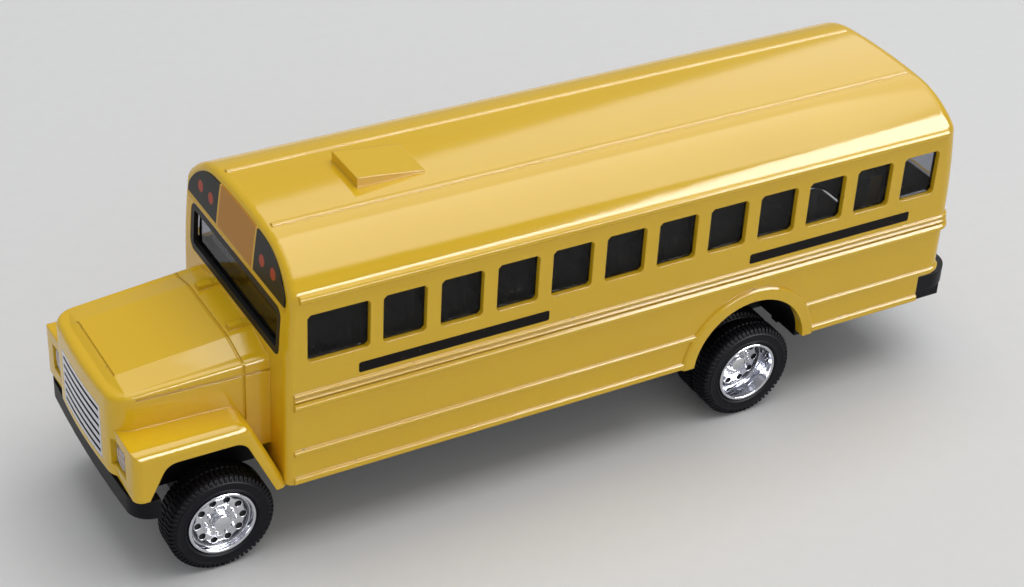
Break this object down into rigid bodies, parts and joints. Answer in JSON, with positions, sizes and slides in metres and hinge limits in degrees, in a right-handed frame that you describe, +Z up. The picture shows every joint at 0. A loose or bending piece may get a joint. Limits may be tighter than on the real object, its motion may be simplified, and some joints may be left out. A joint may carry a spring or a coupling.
{
  "type": "toy school bus",
  "caption": "Die-cast toy school bus with a hooded nose, moulded base, clear windows, bench seats and free-rolling wheels.",
  "frame": {"origin": "middle of the overall length and width, on the ground under the tyres", "axes": "+X to the front of the bus, +Y to its left (driver's) side, +Z up"},
  "size_m": [0.1302, 0.0352, 0.047],
  "materials": {
    "yellow_paint": "gloss enamel on a zinc casting",
    "black_plastic": "moulded, satin",
    "clear_plastic": "clear, polished",
    "dark_plastic": "moulded, matt",
    "bright_plating": "bright vacuum plating on plastic",
    "label": "printed, gloss",
    "steel": "drawn, plain",
    "tyre_rubber": "moulded, soft"
  },
  "bodies": {
    "bus": {"body_casting": "yellow_paint", "base_plate": "black_plastic", "glazing": "clear_plastic", "interior": "dark_plastic", "grille": "bright_plating", "header_label": "label", "headlamp_left": "bright_plating", "headlamp_right": "bright_plating", "front_rivet": "steel", "rear_rivet": "steel"},
    "front_wheels": {"front_axle": "steel", "front_left_hub": "bright_plating", "front_right_hub": "bright_plating", "front_left_tyre": "tyre_rubber", "front_right_tyre": "tyre_rubber"},
    "rear_wheels": {"rear_axle": "steel", "rear_left_hub": "bright_plating", "rear_right_hub": "bright_plating", "rear_left_tyre": "tyre_rubber", "rear_right_tyre": "tyre_rubber"}
  },
  "joints": [
    {"name": "front_roll", "type": "hinge", "parent": "bus", "child": "front_wheels", "pos_m": [0.0522, 0, 0.00736], "axis": [0, 1, 0], "continuous": true},
    {"name": "rear_roll", "type": "hinge", "parent": "bus", "child": "rear_wheels", "pos_m": [-0.0288, 0, 0.00736], "axis": [0, 1, 0], "continuous": true}
  ]
}
